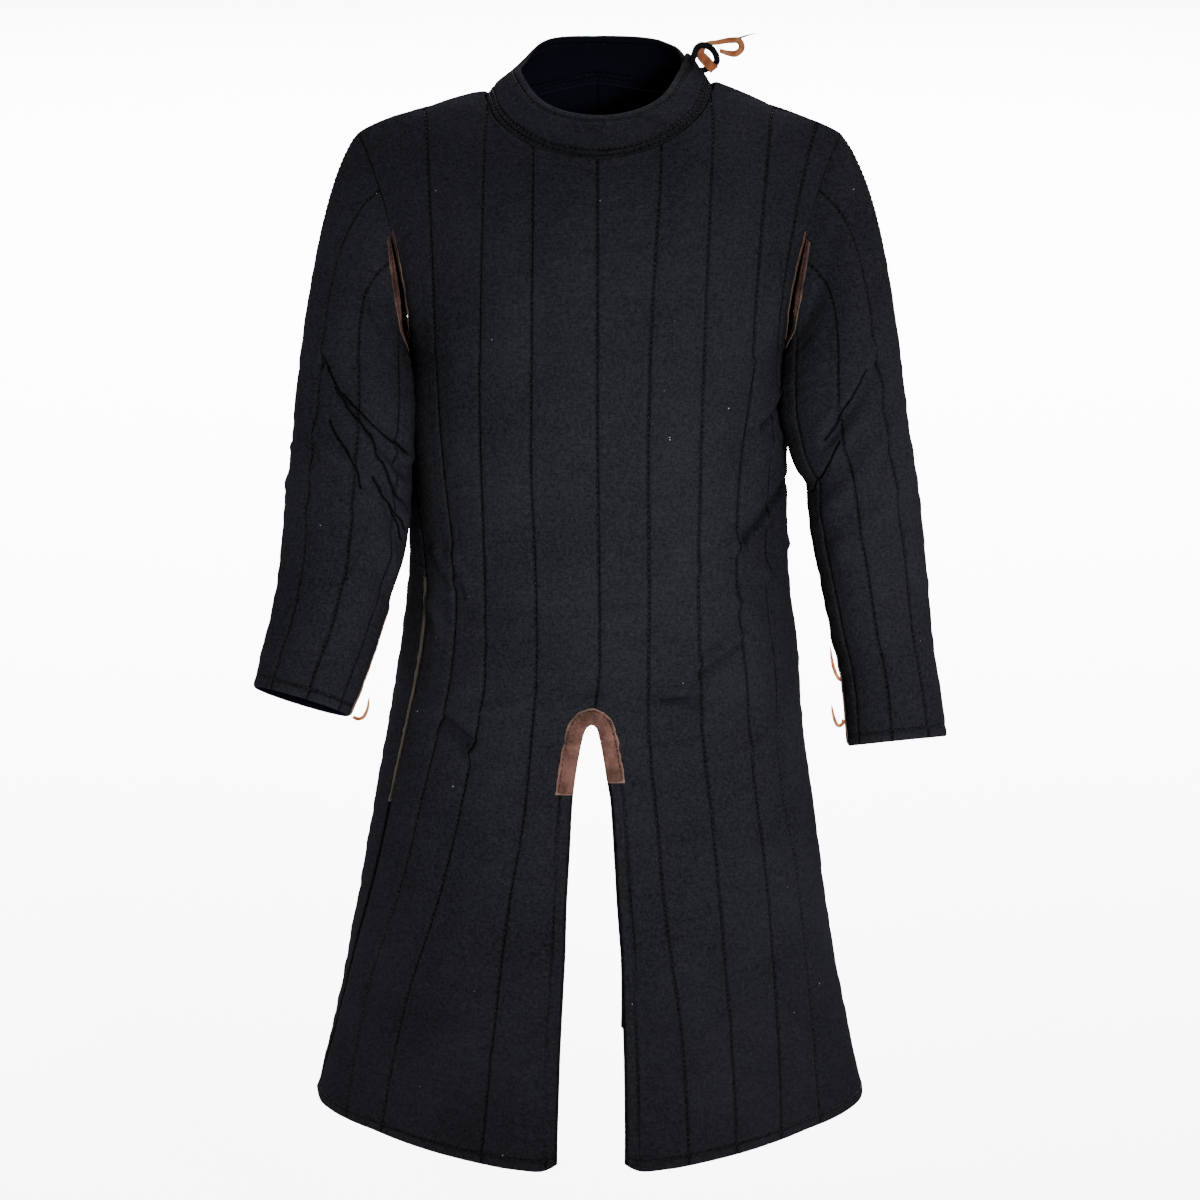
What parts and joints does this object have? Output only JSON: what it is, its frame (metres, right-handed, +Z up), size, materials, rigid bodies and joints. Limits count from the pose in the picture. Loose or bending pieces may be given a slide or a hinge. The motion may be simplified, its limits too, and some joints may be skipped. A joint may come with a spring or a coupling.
{
  "type": "quilted gambeson",
  "caption": "Long quilted gambeson with a low stand collar, long sleeves, open armpits, slit skirts front and back, and leather-bound slits and laces.",
  "frame": {"origin": "middle of the neck opening, level with the shoulder seams' ends at the neck, where the wearer's shoulders carry the garment", "axes": "+Z up along the wearer, -Y the way the wearer faces, so +X is the wearer's left"},
  "size_m": [0.682, 0.3991, 1.0894],
  "materials": {
    "front": "matte quilted cotton, near black",
    "back": "matte quilted cotton, near black",
    "sleeve_right": "matte quilted cotton, near black",
    "sleeve_left": "matte quilted cotton, near black",
    "collar": "matte cotton, near black",
    "collar_loop": "matte cord, near black",
    "front_slit_patch": "brown suede",
    "back_slit_patch": "brown suede",
    "side_facing_right": "brown suede",
    "side_facing_left": "brown suede",
    "armpit_binding_front_right": "brown suede",
    "armpit_binding_front_left": "brown suede",
    "armpit_binding_back_right": "brown suede",
    "armpit_binding_back_left": "brown suede",
    "armpit_binding_sleeve_right": "brown suede",
    "armpit_binding_sleeve_left": "brown suede",
    "cuff_facing_right": "brown suede",
    "cuff_facing_left": "brown suede",
    "collar_thong": "tan leather lace",
    "cuff_thong_right": "tan leather lace",
    "cuff_thong_left_upper": "tan leather lace",
    "cuff_thong_left_lower": "tan leather lace"
  },
  "bodies": {
    "root": {"front": "front", "back": "back", "sleeve_right": "sleeve_right", "sleeve_left": "sleeve_left", "collar": "collar", "collar_loop": "collar_loop", "front_slit_patch": "front_slit_patch", "back_slit_patch": "back_slit_patch", "side_facing_right": "side_facing_right", "side_facing_left": "side_facing_left", "armpit_binding_front_right": "armpit_binding_front_right", "armpit_binding_front_left": "armpit_binding_front_left", "armpit_binding_back_right": "armpit_binding_back_right", "armpit_binding_back_left": "armpit_binding_back_left", "armpit_binding_sleeve_right": "armpit_binding_sleeve_right", "armpit_binding_sleeve_left": "armpit_binding_sleeve_left", "cuff_facing_right": "cuff_facing_right", "cuff_facing_left": "cuff_facing_left", "collar_thong": "collar_thong", "cuff_thong_right": "cuff_thong_right", "cuff_thong_left_upper": "cuff_thong_left_upper", "cuff_thong_left_lower": "cuff_thong_left_lower"}
  },
  "joints": []
}
